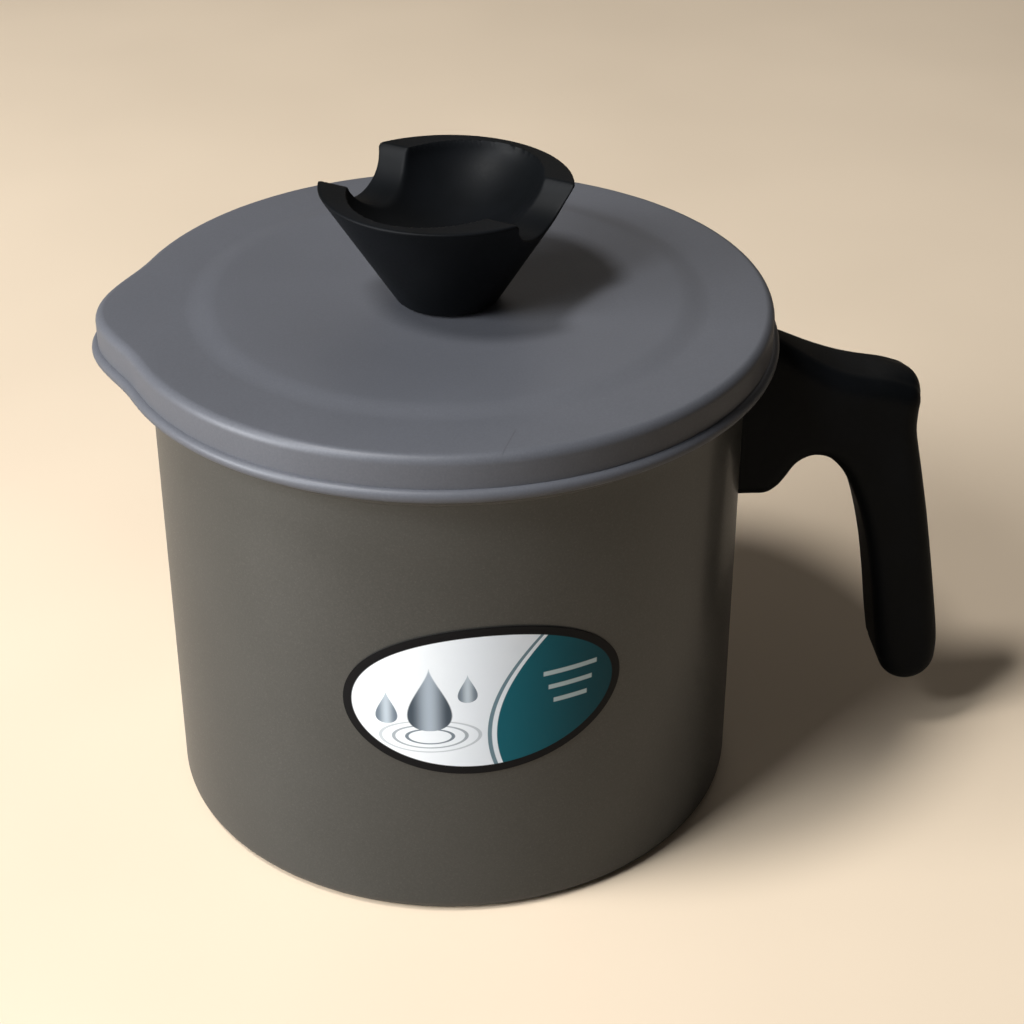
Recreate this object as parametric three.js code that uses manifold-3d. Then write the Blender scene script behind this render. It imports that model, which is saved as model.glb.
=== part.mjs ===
// Oil strainer pot: a coated steel pot with a pouring lip and a hook handle, a lift-out
// strainer that hangs on the pot's shoulder, and a lift-off lid with a scooped knob.
// Lengths are in millimetres, angles in degrees, +Z is up. The origin is the middle of the
// pot's base. The handle points along +X and the pouring lip along -X.

import * as THREE from 'three';
import { mergeGeometries, mergeVertices } from 'three/addons/utils/BufferGeometryUtils.js';
import Module from 'manifold-3d';

const wasm = await Module();
wasm.setup();

// Driving dimensions
const potRadius = 70; // outside of the straight wall
const potHeight = 126; // base to the top of the rolled rim
const potSheet = 0.8; // coated steel of the pot
const lidSheet = 0.8; // coated steel of the lid
const strainerSheet = 0.6; // stainless steel of the strainer
const seatGap = 0.3; // left between pieces that rest on or fit in each other
const cutOverrun = 3; // how far a cutting solid runs past the surface it cuts
const screwRadius = 2; // both screws are the same metric size
const turnSteps = 60; // facets round the large turned pieces
const knobSteps = 48; // facets round the knob
const smallTurnSteps = 24; // facets round screws, washers and the insert

// Pot
const potCorner = 3.2; // rounding between base and wall
const shoulderDepth = 14.3; // rim top down to where the wall starts to step out
const shoulderStep = 2.1; // how far the collar stands outside the wall
const rimBead = 1.4; // radius of the rolled rim
const lipReach = 5.6; // how far the pouring lip stands out of the round rim
const lipHalfAngle = 21; // half the angle that the lip takes up round the rim
const lipDepth = 16; // rim top down to where the lip starts to bulge

// Lid
const lidPlay = 1.0; // sideways clearance between the rolled rim and the skirt
const lidCorner = 2.2; // rounding between top and skirt
const lidSkirt = 10.6; // corner top down to the lower edge of the hem
const lidHemHeight = 3.0; // height of the rolled hem
const lidHemStep = 1.5; // how far the hem stands outside the skirt
const lidLandRise = 0.2; // the outer land climbs by this much towards the middle
const lidStepRise = 0.8; // height of the soft step up to its crest
const lidStepRadius = 57.5; // middle of the soft step
const lidStepWidth = 8; // how wide the soft step is
const lidDip = 1.4; // crest down to the knob's seat in the middle
const lidSeatRadius = 14; // flat seat round the knob's foot

// Knob
const knobBaseRadius = 11.8;
const knobRimRadius = 29.5;
const knobHeight = 28.4;
const knobEdge = 1.0; // rounding of the rim's outer edge
const knobDishLength = 41.6; // the oval dish, measured from notch to notch
const knobDishWidth = 52.8;
const knobDishDepth = 14.5;
const knobDishRoundness = 1.6; // 1 makes the dish a cone and 2 a round bowl
const knobNotchWidth = 26; // across a notch at the rim
const knobNotchDepth = 8;
const knobNotchDirection = 146; // where the groove through both notches points, from +X
const insertRadius = 3.6;
const insertLength = 9;

// Strainer
const strainerDrop = 12; // shoulder down to the underside of the basket
const strainerCurl = 1.0; // radius of the curled edge
const strainerFlange = 2.3; // curl centre to the basket wall
const strainerTaper = 1.4; // the basket narrows by this much towards its foot
const strainerCorner = 1.5;
const strainerLip = 5; // inward lip that carries the wire mesh
const meshWire = 0.9; // wire width of the mesh
const meshThickness = 0.6;
const meshPitch = 10; // wire to wire
const clampHeight = 1.2;

// Handle
const handleReach = 54.5; // wall to the outermost point of the grip
const handleDropFromRim = 11.2; // rim top down to the top of the handle's root
const handleHeight = 99; // top of the root to the tip
const handleTipShare = 0.136; // radius of the grip's rounded tip, as a share of the reach
const handleWidth = 20; // across the outer corner and the grip
const handleRootWidth = 13; // across the root at the wall
const handleFlareReach = 25; // wall to where the root has flared out to the full width
const handleEdge = 4.5; // rounding of the long edges

// Handle bracket and its fixing
const saddleHeight = 28;
const saddleWidth = 9;
const saddleSheet = 1.2;
const saddleTopDrop = 8; // top of the handle's root down to the top of the saddle
const tongueLength = 21;
const tongueWidth = 8;
const tongueThickness = 2;
const tongueShare = 0.5; // height of the tongue on the saddle
const screwReach = 14.5; // wall to the handle screw
const nutAcrossFlats = 7;
const nutHeight = 3.2;
const screwHeadRadius = 3.8;
const screwHeadHeight = 2.4;
const washerRadius = 4.4;
const washerThickness = 0.8;
const handleScrewSeat = 4.7; // plastic between the head recess and the bracket pocket

// Label
const labelWidth = 64.4; // along the wall
const labelHeight = 39.4;
const labelCentreHeight = 61.2;
const labelDirection = -87.4; // where the middle of the label points, from +X
const labelTiltShare = 0.033; // rise of the long axis for its length
const labelEggShare = 0.03; // the left end is fuller by this share
const labelThickness = 0.2;
const labelGap = 0.2;
const labelColumns = 20;

// Sizes that follow from the ones above
const potInside = potRadius - potSheet;
const collarRadius = potRadius + shoulderStep;
const collarInside = collarRadius - potSheet;
const shoulderHeight = potHeight - shoulderDepth;
const shoulderBend = shoulderStep / 2;
const ledgeHeight = shoulderHeight + shoulderBend + potSheet;
const rimCentre = collarInside + rimBead;
const rimRadius = rimCentre + rimBead;
const rimMiddle = potHeight - rimBead;
const lidInside = rimRadius + lidPlay;
const lidOutside = lidInside + lidSheet;
const lidCornerTop = potHeight + seatGap + lidSheet;
const lidCrest = lidCornerTop + lidLandRise + lidStepRise;
const lidSeat = lidCrest - lidDip;
const lidUnderside = lidSeat - lidSheet;
const lidHoleRadius = screwRadius + seatGap;
const knobBottom = lidSeat + seatGap;
const knobTop = knobBottom + knobHeight;

const radians = (degrees) => THREE.MathUtils.degToRad(degrees);

// Points of an arc, in the plane of a profile: radius from the axis, then height.
function arc(centreRadius, centreHeight, radius, from, to, steps) {
  const points = [];
  for (let step = 0; step <= steps; step += 1) {
    const angle = radians(from + ((to - from) * step) / steps);
    const out = centreRadius + radius * Math.cos(angle);
    points.push(new THREE.Vector2(out, centreHeight + radius * Math.sin(angle)));
  }
  return points;
}

// A profile turned round the Z axis, as a closed mesh. A profile that keeps off the axis
// is closed into a ring.
function turned(profile, steps) {
  const onAxis = profile[0].x === 0;
  const closed = onAxis ? profile : [...profile, profile[0]];
  return new THREE.LatheGeometry(closed, steps).rotateX(Math.PI / 2);
}

function cylinder(radius, low, high, steps) {
  const geometry = new THREE.CylinderGeometry(radius, radius, high - low, steps);
  return geometry.rotateX(Math.PI / 2).translate(0, 0, (low + high) / 2);
}

// A box between two corners, as lengths along X, Y and Z.
function box(low, high) {
  const size = high.map((value, axis) => value - low[axis]);
  const middle = high.map((value, axis) => (value + low[axis]) / 2);
  return new THREE.BoxGeometry(...size).translate(...middle);
}

// A closed geometry as a solid that can be joined and cut.
function solid(geometry) {
  const bare = geometry.clone();
  bare.deleteAttribute('normal');
  bare.deleteAttribute('uv');
  const merged = mergeVertices(bare);
  const corners = merged.index.array;
  const triangles = [];
  for (let start = 0; start < corners.length; start += 3) {
    const [a, b, c] = corners.slice(start, start + 3);
    if (a !== b && b !== c && c !== a) {
      triangles.push(a, b, c);
    }
  }
  return new wasm.Manifold(new wasm.Mesh({
    numProp: 3,
    vertProperties: new Float32Array(merged.attributes.position.array),
    triVerts: new Uint32Array(triangles),
  }));
}

function geometryOf(body) {
  const { vertProperties, triVerts } = body.getMesh();
  const geometry = new THREE.BufferGeometry();
  geometry.setAttribute('position', new THREE.BufferAttribute(vertProperties, 3));
  geometry.setIndex(new THREE.BufferAttribute(triVerts, 1));
  geometry.computeVertexNormals();
  return geometry;
}

// Moves the points round -X outwards into the pouring lip. fadeOf gives how much of the
// lip a point takes, from its radius and height.
function withLip(geometry, fadeOf) {
  const position = geometry.attributes.position;
  for (let point = 0; point < position.count; point += 1) {
    const x = position.getX(point);
    const y = position.getY(point);
    const radius = Math.hypot(x, y);
    const offLip = Math.atan2(Math.abs(y), -x) / radians(lipHalfAngle);
    if (offLip < 1 && radius > 0) {
      const bulge = (lipReach * (1 + Math.cos(Math.PI * offLip))) / 2;
      const stretch = 1 + (bulge * fadeOf(radius, position.getZ(point))) / radius;
      position.setX(point, x * stretch);
      position.setY(point, y * stretch);
    }
  }
  return geometry;
}

const ease = (share) => THREE.MathUtils.smoothstep(share, 0, 1);

function finish(color, roughness, metalness) {
  return new THREE.MeshStandardMaterial({ color, roughness, metalness });
}

const coatedPot = finish(0x5a5651, 0.5, 0.5);
const coatedLid = finish(0x696a6f, 0.55, 0.3);
const blackPlastic = finish(0x17181b, 0.5, 0);
const steel = finish(0xb4b6b8, 0.3, 1);
const brass = finish(0xb08d4a, 0.35, 1);
const labelPrint = finish(0xdfe4e6, 0.35, 0);

// Pot: drawn from one sheet, stepped out into a collar near the top, with a rolled rim.
function potBody() {
  const rimMeet = -THREE.MathUtils.radToDeg(Math.acos((collarRadius - rimCentre) / rimBead));
  const bendRadius = potRadius + shoulderBend;
  const collarFoot = shoulderHeight + shoulderStep;
  const cornerRadius = potRadius - potCorner;
  const innerBend = shoulderBend + potSheet;
  const profile = [
    new THREE.Vector2(0, 0),
    ...arc(cornerRadius, potCorner, potCorner, -90, 0, 4),
    ...arc(bendRadius, shoulderHeight, shoulderBend, 180, 90, 2),
    ...arc(bendRadius, collarFoot, shoulderBend, -90, 0, 2).slice(1),
    ...arc(rimCentre, rimMiddle, rimBead, rimMeet, 180, 6),
    ...arc(bendRadius, collarFoot, shoulderBend - potSheet, 0, -90, 1),
    ...arc(bendRadius, shoulderHeight, innerBend, 90, 180, 3).slice(1),
    ...arc(cornerRadius, potCorner, potCorner - potSheet, 0, -90, 3),
    new THREE.Vector2(0, potSheet),
  ];
  const lipStart = potHeight - lipDepth;
  const lipFull = collarFoot + shoulderStep;
  return withLip(turned(profile, turnSteps), (radius, height) =>
    ease((height - lipStart) / (lipFull - lipStart)));
}

// Lid: a pressed disc that rises over a soft step and dips again to the knob in its middle,
// and a skirt with a rolled hem. It follows the pouring lip.
function lidShell() {
  const cornerRadius = lidOutside - lidCorner;
  const stepFoot = lidStepRadius + lidStepWidth / 2;
  const stepHead = lidStepRadius - lidStepWidth / 2;
  const hemBottom = lidCornerTop - lidSkirt;
  const hemTop = hemBottom + lidHemHeight;
  const hemRound = lidHemHeight / 2;
  const hemSide = lidOutside + lidHemStep - hemRound;
  const slopeSteps = 4;
  const slope = (start, end, low, high) =>
    Array.from({ length: slopeSteps + 1 }, (_, step) => {
      const share = step / slopeSteps;
      const height = THREE.MathUtils.lerp(low, high, ease(share));
      return new THREE.Vector2(THREE.MathUtils.lerp(start, end, share), height);
    });
  const middle = [
    new THREE.Vector2(lidHoleRadius, lidSeat),
    ...slope(lidSeatRadius, stepHead, lidSeat, lidCrest),
    ...slope(stepHead, stepFoot, lidCrest, lidCrest - lidStepRise).slice(1),
  ];
  const under = middle.map((point) => new THREE.Vector2(point.x, point.y - lidSheet));
  const cornerMiddle = lidCornerTop - lidCorner;
  const profile = [
    ...under,
    ...arc(cornerRadius, cornerMiddle, lidCorner - lidSheet, 90, 0, 3),
    new THREE.Vector2(lidInside, hemBottom),
    ...arc(hemSide, hemBottom + hemRound, hemRound, -90, 60, 5),
    new THREE.Vector2(lidOutside, hemTop),
    ...arc(cornerRadius, cornerMiddle, lidCorner, 0, 90, 4),
    ...middle.reverse(),
  ];
  return withLip(turned(profile, turnSteps), (radius) =>
    THREE.MathUtils.clamp((radius - stepFoot) / (cornerRadius - stepFoot), 0, 1));
}

// Knob: an upside-down cone with an oval dish in its top. A groove along the dish leaves two
// notches for the fingers, and a bore in its base holds the threaded insert.
function knobBody() {
  const slope = (knobRimRadius - knobBaseRadius) / knobHeight;
  const edgeRadius = knobRimRadius - knobEdge;
  const edgeHeight = knobTop - knobEdge;
  const profile = [
    new THREE.Vector2(0, knobBottom),
    new THREE.Vector2(knobBaseRadius - knobEdge, knobBottom),
    new THREE.Vector2(knobBaseRadius + knobEdge * slope, knobBottom + knobEdge),
    ...arc(edgeRadius, edgeHeight, knobEdge, -15, 90, 3),
    new THREE.Vector2(0, knobTop),
  ];
  const dishSteps = 7;
  const dishProfile = [];
  for (let step = 0; step <= dishSteps; step += 1) {
    const angle = radians((90 * step) / dishSteps);
    const out = Math.sin(angle) ** (2 / knobDishRoundness);
    const deep = step === dishSteps ? 0 : Math.cos(angle) ** (2 / knobDishRoundness);
    dishProfile.push(new THREE.Vector2(out, knobTop - knobDishDepth * deep));
  }
  dishProfile.push(new THREE.Vector2(1, knobTop + cutOverrun));
  dishProfile.push(new THREE.Vector2(0, knobTop + cutOverrun));
  const dish = turned(dishProfile, knobSteps)
    .scale(knobDishLength / 2, knobDishWidth / 2, 1)
    .rotateZ(radians(knobNotchDirection));
  const half = knobNotchWidth / 2;
  const grooveRadius = (half * half + knobNotchDepth * knobNotchDepth) / (2 * knobNotchDepth);
  const grooveHeight = knobTop - knobNotchDepth + grooveRadius;
  const grooveReach = 2 * (knobRimRadius + cutOverrun);
  const groove = new THREE.CylinderGeometry(grooveRadius, grooveRadius, grooveReach, knobSteps)
    .rotateZ(-Math.PI / 2)
    .rotateZ(radians(knobNotchDirection))
    .translate(0, 0, grooveHeight);
  const boreTop = knobBottom + insertLength + seatGap;
  const bore = cylinder(
    insertRadius + seatGap, knobBottom - cutOverrun, boreTop, smallTurnSteps);
  const moulding = solid(turned(profile, knobSteps)).subtract(solid(dish));
  return geometryOf(moulding.subtract(solid(groove)).subtract(solid(bore)));
}

// A tube between two radii, such as a washer or an insert.
function collar(inside, outside, low, high) {
  const profile = [
    new THREE.Vector2(inside, low),
    new THREE.Vector2(outside, low),
    new THREE.Vector2(outside, high),
    new THREE.Vector2(inside, high),
  ];
  return turned(profile, smallTurnSteps);
}

// A pan-head screw that stands head down, with its shank up to a height.
function screw(headLow, top) {
  const headTop = headLow + screwHeadHeight;
  const crown = screwHeadHeight / 3;
  const profile = [
    new THREE.Vector2(0, headLow),
    new THREE.Vector2(screwHeadRadius - crown, headLow),
    new THREE.Vector2(screwHeadRadius, headLow + crown),
    new THREE.Vector2(screwHeadRadius, headTop),
    new THREE.Vector2(screwRadius, headTop),
    new THREE.Vector2(screwRadius, top),
    new THREE.Vector2(0, top),
  ];
  return turned(profile, smallTurnSteps);
}

const hole = screwRadius + seatGap;

// Strainer basket: a curled edge that hangs on the pot's shoulder, a low tapered wall and
// an inward lip under the wire mesh.
const strainerEdge = collarInside - seatGap;
const curlCentre = strainerEdge - strainerCurl;
const flangeHeight = ledgeHeight + seatGap / 3;
const basketTop = curlCentre - strainerFlange;
const basketFoot = basketTop - strainerTaper;
const basketBottom = ledgeHeight - strainerDrop;
const lipTop = basketBottom + strainerSheet;
const lipInside = basketFoot - strainerLip;
const meshRadius = basketFoot - strainerCorner;
const meshBottom = lipTop + seatGap;
const clampBottom = meshBottom + meshThickness + seatGap;

function strainerBasket() {
  const footCentre = basketFoot - strainerCorner;
  const cornerHeight = basketBottom + strainerCorner;
  const curlHeight = flangeHeight + strainerCurl;
  const profile = [
    new THREE.Vector2(lipInside, basketBottom),
    ...arc(footCentre, cornerHeight, strainerCorner, -90, 0, 2),
    new THREE.Vector2(basketTop, flangeHeight),
    ...arc(curlCentre, curlHeight, strainerCurl, -90, 180, 6),
    new THREE.Vector2(curlCentre - strainerCurl, flangeHeight + strainerSheet),
    new THREE.Vector2(basketTop - strainerSheet, flangeHeight + strainerSheet),
    ...arc(footCentre, cornerHeight, strainerCorner - strainerSheet, 0, -90, 1),
    new THREE.Vector2(lipInside, lipTop),
  ];
  return turned(profile, turnSteps);
}

// Wire mesh: a round net, with square gaps wherever a whole gap fits inside its edge.
function strainerMesh() {
  const meshTop = meshBottom + meshThickness;
  const half = (meshPitch - meshWire) / 2;
  const openRadius = lipInside - meshWire;
  const count = Math.floor(openRadius / meshPitch);
  const gaps = [];
  for (let column = -count; column <= count; column += 1) {
    for (let row = -count; row <= count; row += 1) {
      const x = column * meshPitch;
      const y = row * meshPitch;
      if (Math.hypot(Math.abs(x) + half, Math.abs(y) + half) < openRadius) {
        const low = [x - half, y - half, meshBottom - cutOverrun];
        const high = [x + half, y + half, meshTop + cutOverrun];
        gaps.push(box(low, high));
      }
    }
  }
  const disc = solid(cylinder(meshRadius, meshBottom, meshTop, turnSteps));
  return geometryOf(disc.subtract(solid(mergeGeometries(gaps))));
}

function clampRing() {
  const profile = [
    new THREE.Vector2(lipInside, clampBottom),
    new THREE.Vector2(meshRadius, clampBottom),
    new THREE.Vector2(meshRadius, clampBottom + clampHeight),
    new THREE.Vector2(lipInside, clampBottom + clampHeight),
  ];
  return turned(profile, turnSteps);
}

// Handle bracket: a saddle that is spot-welded to the wall, with a flat tongue that enters
// the handle.
const handleTop = potHeight - handleDropFromRim;
const saddleTop = handleTop - saddleTopDrop;
const saddleBottom = saddleTop - saddleHeight;
const saddleInside = potRadius + seatGap;
const saddleOutside = saddleInside + saddleSheet;
const tongueBottom = saddleBottom + saddleHeight * tongueShare;
const tongueTop = tongueBottom + tongueThickness;
const tongueEnd = potRadius + tongueLength;
const screwX = potRadius + screwReach;
const nutBottom = tongueTop + seatGap;
const pocketTop = nutBottom + nutHeight + seatGap;
const pocketBottom = tongueBottom - seatGap;
const headRecess = pocketBottom - handleScrewSeat;
const handleWasherTop = headRecess - seatGap;
const handleHeadTop = handleWasherTop - washerThickness - seatGap;

function handleBracket() {
  const drum = cylinder(saddleOutside, saddleBottom, saddleTop, turnSteps);
  const wall = cylinder(
    saddleInside, saddleBottom - cutOverrun, saddleTop + cutOverrun, turnSteps);
  const shell = solid(drum).subtract(solid(wall));
  const side = saddleWidth / 2;
  const window = solid(box([0, -side, saddleBottom], [saddleOutside, side, saddleTop]));
  const half = tongueWidth / 2;
  const root = saddleInside + saddleSheet / 3;
  const tongue = solid(box([root, -half, tongueBottom], [tongueEnd, half, tongueTop]));
  const bore = cylinder(
    hole, tongueBottom - cutOverrun, tongueTop + cutOverrun, smallTurnSteps);
  const bored = solid(bore.translate(screwX, 0, 0));
  return geometryOf(shell.intersect(window).add(tongue).subtract(bored));
}

function bracketNut() {
  const corner = nutAcrossFlats / Math.sqrt(3);
  const outside = solid(cylinder(corner, nutBottom, nutBottom + nutHeight, 6));
  const bore = cylinder(
    hole, nutBottom - cutOverrun, pocketTop + cutOverrun, smallTurnSteps);
  return geometryOf(outside.subtract(solid(bore)));
}

// Handle: moulded in one piece, an arm that leaves the wall just under the lid and bends
// down into an open grip. Each share is of the reach from the wall, then of the height.
const handleOverShares = [
  [0.15, 0.996], [0.233, 0.97], [0.307, 0.947], [0.373, 0.929], [0.451, 0.912], [0.554, 0.898],
  [0.645, 0.889], [0.714, 0.878], [0.77, 0.864], [0.798, 0.836], [0.795, 0.79], [0.799, 0.737],
  [0.842, 0.624], [0.9, 0.463], [0.971, 0.235], [0.999, 0.13], [1, 0.075],
];
const handleUnderShares = [
  [0.72, 0.075], [0.698, 0.147], [0.67, 0.259], [0.638, 0.368], [0.601, 0.461],
  [0.564, 0.532], [0.524, 0.586], [0.485, 0.629], [0.443, 0.66], [0.398, 0.68], [0.341, 0.685],
  [0.294, 0.674], [0.257, 0.654], [0.226, 0.624], [0.19, 0.594], [0.138, 0.571], [0.068, 0.567],
];

function handleBody() {
  const tipHeight = handleTop - handleHeight;
  const place = ([out, up]) =>
    new THREE.Vector2(potRadius + out * handleReach, tipHeight + up * handleHeight);
  const over = new THREE.SplineCurve(handleOverShares.map(place)).getPoints(26);
  const under = new THREE.SplineCurve(handleUnderShares.map(place)).getPoints(26);
  const tipRadius = handleReach * handleTipShare;
  const tipCentre = potRadius + handleReach - tipRadius;
  const tip = arc(tipCentre, tipHeight + tipRadius, tipRadius, 0, -180, 8);
  const insideWall = potRadius - handleEdge - cutOverrun;
  const outline = [
    new THREE.Vector2(insideWall, handleTop),
    ...over,
    ...tip.slice(1, -1),
    ...under,
    new THREE.Vector2(insideWall, under[under.length - 1].y),
  ];
  const corners = outline.map((point) => point.toArray());
  const sideFace = new wasm.CrossSection([corners], 'NonZero')
    .offset(-handleEdge, 'Round', 2, turnSteps)
    .simplify(seatGap / 6);
  const [flat] = sideFace.toPolygons();
  const options = {
    depth: handleWidth - 2 * handleEdge,
    bevelThickness: handleEdge,
    bevelSize: handleEdge,
    bevelSegments: 3,
  };
  const sideShape = new THREE.Shape(flat.map(([out, up]) => new THREE.Vector2(out, up)));
  const moulding = new THREE.ExtrudeGeometry(sideShape, options)
    .translate(0, 0, handleEdge - handleWidth / 2)
    .rotateX(Math.PI / 2);
  const position = moulding.attributes.position;
  for (let point = 0; point < position.count; point += 1) {
    const share = ease((position.getX(point) - potRadius) / handleFlareReach);
    const width = THREE.MathUtils.lerp(handleRootWidth, handleWidth, share);
    position.setY(point, (position.getY(point) * width) / handleWidth);
  }
  const clearHeight = handleTop + cutOverrun;
  const wall = cylinder(potRadius + seatGap, tipHeight, clearHeight, turnSteps);
  const shoulder = cylinder(
    collarRadius + seatGap, shoulderHeight - seatGap, clearHeight, turnSteps);
  const side = saddleWidth / 2 + seatGap;
  const saddleDrum = cylinder(
    saddleOutside + seatGap, saddleBottom - seatGap, saddleTop + seatGap, turnSteps);
  const saddleWindow = box([0, -side, 0], [potRadius + handleReach, side, potHeight]);
  const saddleRoom = solid(saddleDrum).intersect(solid(saddleWindow));
  const half = tongueWidth / 2 + seatGap;
  const pocketLow = [potRadius - cutOverrun, -half, pocketBottom];
  const pocket = box(pocketLow, [tongueEnd + seatGap, half, pocketTop]);
  const screwHole = cylinder(hole, tipHeight, pocketTop, smallTurnSteps)
    .translate(screwX, 0, 0);
  const headRoom = cylinder(washerRadius + seatGap, tipHeight, headRecess, smallTurnSteps)
    .translate(screwX, 0, 0);
  const cuts = [wall, shoulder, pocket, screwHole, headRoom].map(solid);
  const cutBody = cuts.reduce((body, cut) => body.subtract(cut), solid(moulding));
  return geometryOf(cutBody.subtract(saddleRoom).simplify(seatGap / 10));
}

// Label: a printed oval sticker bent round the wall, built from upright strips.
function frontLabel() {
  const inside = potRadius + labelGap;
  const outside = inside + labelThickness;
  const vertices = [];
  const triangles = [];
  for (let column = 0; column <= labelColumns; column += 1) {
    const turn = (Math.PI * (column + 0.5)) / (labelColumns + 1);
    const along = (-labelWidth / 2) * Math.cos(turn);
    const fuller = 1 + labelEggShare * Math.cos(turn);
    const half = (labelHeight / 2) * Math.sin(turn) * fuller;
    const middle = labelCentreHeight + labelTiltShare * along;
    const angle = radians(labelDirection) + along / potRadius;
    for (const radius of [inside, outside]) {
      for (const height of [middle - half, middle + half]) {
        vertices.push(radius * Math.cos(angle), radius * Math.sin(angle), height);
      }
    }
  }
  const quad = (a, b, c, d) => triangles.push(a, b, c, a, c, d);
  for (let column = 0; column < labelColumns; column += 1) {
    const here = 4 * column;
    const next = here + 4;
    quad(here, here + 1, next + 1, next);
    quad(here + 2, next + 2, next + 3, here + 3);
    quad(here, next, next + 2, here + 2);
    quad(here + 1, here + 3, next + 3, next + 1);
  }
  const last = 4 * labelColumns;
  quad(0, 2, 3, 1);
  quad(last, last + 1, last + 3, last + 2);
  const geometry = new THREE.BufferGeometry();
  geometry.setAttribute('position', new THREE.Float32BufferAttribute(vertices, 3));
  geometry.setIndex(triangles);
  return geometry;
}

const washerTop = lidUnderside - seatGap;
const knobHeadTop = washerTop - washerThickness - seatGap;
const knobScrewTop = knobBottom + insertLength - screwRadius / 2;

const washer = (top) => collar(hole, washerRadius, top - washerThickness, top);

const assembly = new THREE.Group();

function place(name, geometry, material, x = 0) {
  const mesh = new THREE.Mesh(geometry, material);
  mesh.name = name;
  mesh.position.set(x, 0, 0);
  assembly.add(mesh);
}

place('pot_body', potBody(), coatedPot);
place('front_label', frontLabel(), labelPrint);
place('handle_bracket', handleBracket(), steel);
place('bracket_nut', bracketNut(), steel, screwX);
place('handle', handleBody(), blackPlastic);
place('handle_washer', washer(handleWasherTop), steel, screwX);
place('handle_screw', screw(handleHeadTop - screwHeadHeight, nutBottom + nutHeight), steel, screwX);
place('strainer_basket', strainerBasket(), steel);
place('strainer_mesh', strainerMesh(), steel);
place('strainer_clamp_ring', clampRing(), steel);
place('lid', lidShell(), coatedLid);
place('knob', knobBody(), blackPlastic);
place('knob_insert', collar(hole, insertRadius, knobBottom, knobBottom + insertLength), brass);
place('knob_washer', washer(washerTop), steel);
place('knob_screw', screw(knobHeadTop - screwHeadHeight, knobScrewTop), steel);

export default assembly;
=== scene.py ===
"""An oil strainer pot with a lift-out strainer, a lid with a scooped knob and a hook handle.
Lengths are in metres, +Z is up, the handle points along +X and the pouring lip along -X."""

import math

import bmesh
import bpy
import numpy as np
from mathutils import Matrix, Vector


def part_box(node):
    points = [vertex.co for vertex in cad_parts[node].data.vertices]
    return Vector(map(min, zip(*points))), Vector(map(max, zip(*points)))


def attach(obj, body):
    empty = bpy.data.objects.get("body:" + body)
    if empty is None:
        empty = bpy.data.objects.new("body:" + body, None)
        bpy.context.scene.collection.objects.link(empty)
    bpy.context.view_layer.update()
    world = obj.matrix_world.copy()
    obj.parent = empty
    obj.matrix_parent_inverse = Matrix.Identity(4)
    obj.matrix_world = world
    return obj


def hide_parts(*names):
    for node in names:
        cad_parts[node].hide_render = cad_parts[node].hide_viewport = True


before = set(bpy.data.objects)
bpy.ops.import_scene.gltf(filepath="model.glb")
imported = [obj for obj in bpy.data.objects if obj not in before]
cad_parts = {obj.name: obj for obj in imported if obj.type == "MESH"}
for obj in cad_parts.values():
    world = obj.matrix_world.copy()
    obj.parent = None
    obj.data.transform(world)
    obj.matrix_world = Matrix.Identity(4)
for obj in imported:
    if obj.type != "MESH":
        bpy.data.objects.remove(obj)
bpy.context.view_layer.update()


# Pot body: a can drawn from one sheet of steel and coated inside and out with a warm grey
# metallic non-stick finish. Near the top the wall steps out into a collar, which leaves a
# ledge for the strainer, then rolls over at the rim and swells into a pouring lip.

def arc(across, height, radius, start, end, steps):
    """Points of an arc in a profile, as distances from the axis and heights."""
    turns = [math.radians(start + (end - start) * step / steps) for step in range(steps + 1)]
    return [(across + radius * math.cos(turn), height + radius * math.sin(turn)) for turn in turns]


def divided(outline, longest):
    """The outline with its long stretches cut into short ones, so that shading stays even."""
    points = [outline[0]]
    for start, end in zip(outline, outline[1:]):
        parts = max(1, math.ceil(math.dist(start, end) / longest))
        for part in range(1, parts + 1):
            share = part / parts
            points.append(tuple(a + (b - a) * share for a, b in zip(start, end)))
    return points


def shade_smooth(mesh, crease):
    """Smooth shading, except along edges sharper than crease degrees."""
    mesh.polygons.foreach_set("use_smooth", [True] * len(mesh.polygons))
    mesh.set_sharp_from_angle(angle=math.radians(crease))


def new_piece(name, vertices, faces, crease=40):
    """A smoothly shaded mesh object at the origin."""
    mesh = bpy.data.meshes.new(name)
    mesh.from_pydata(vertices, [], faces)
    mesh.validate()
    shade_smooth(mesh, crease)
    piece = bpy.data.objects.new(name, mesh)
    bpy.context.collection.objects.link(piece)
    return piece


long_stretch = 0.003
short_stretch = 0.002


def turned(name, profile, steps, longest=long_stretch, crease=40):
    """A profile turned round the Z axis. One that starts and ends on the axis becomes a
    closed body, and one that keeps off it is closed into a ring."""
    on_axis = profile[0][0] == 0
    points = divided(profile if on_axis else [*profile, profile[0]], longest)
    if not on_axis:
        points.pop()
    vertices = []
    rings = []
    for across, height in points:
        count = steps if across > 0 else 1
        ring = []
        for step in range(count):
            turn = 2 * math.pi * step / steps
            ring.append(len(vertices))
            vertices.append((across * math.cos(turn), across * math.sin(turn), height))
        rings.append(ring)
    faces = []
    following = rings[1:] if on_axis else [*rings[1:], rings[0]]
    for lower, upper in zip(rings, following):
        for step in range(steps):
            after = (step + 1) % steps
            corners = [lower[step % len(lower)], lower[after % len(lower)],
                       upper[after % len(upper)], upper[step % len(upper)]]
            faces.append(list(dict.fromkeys(corners)))
    return new_piece(name, vertices, faces, crease)


lip_reach = 0.0056
lip_half_angle = math.radians(21)


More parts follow.
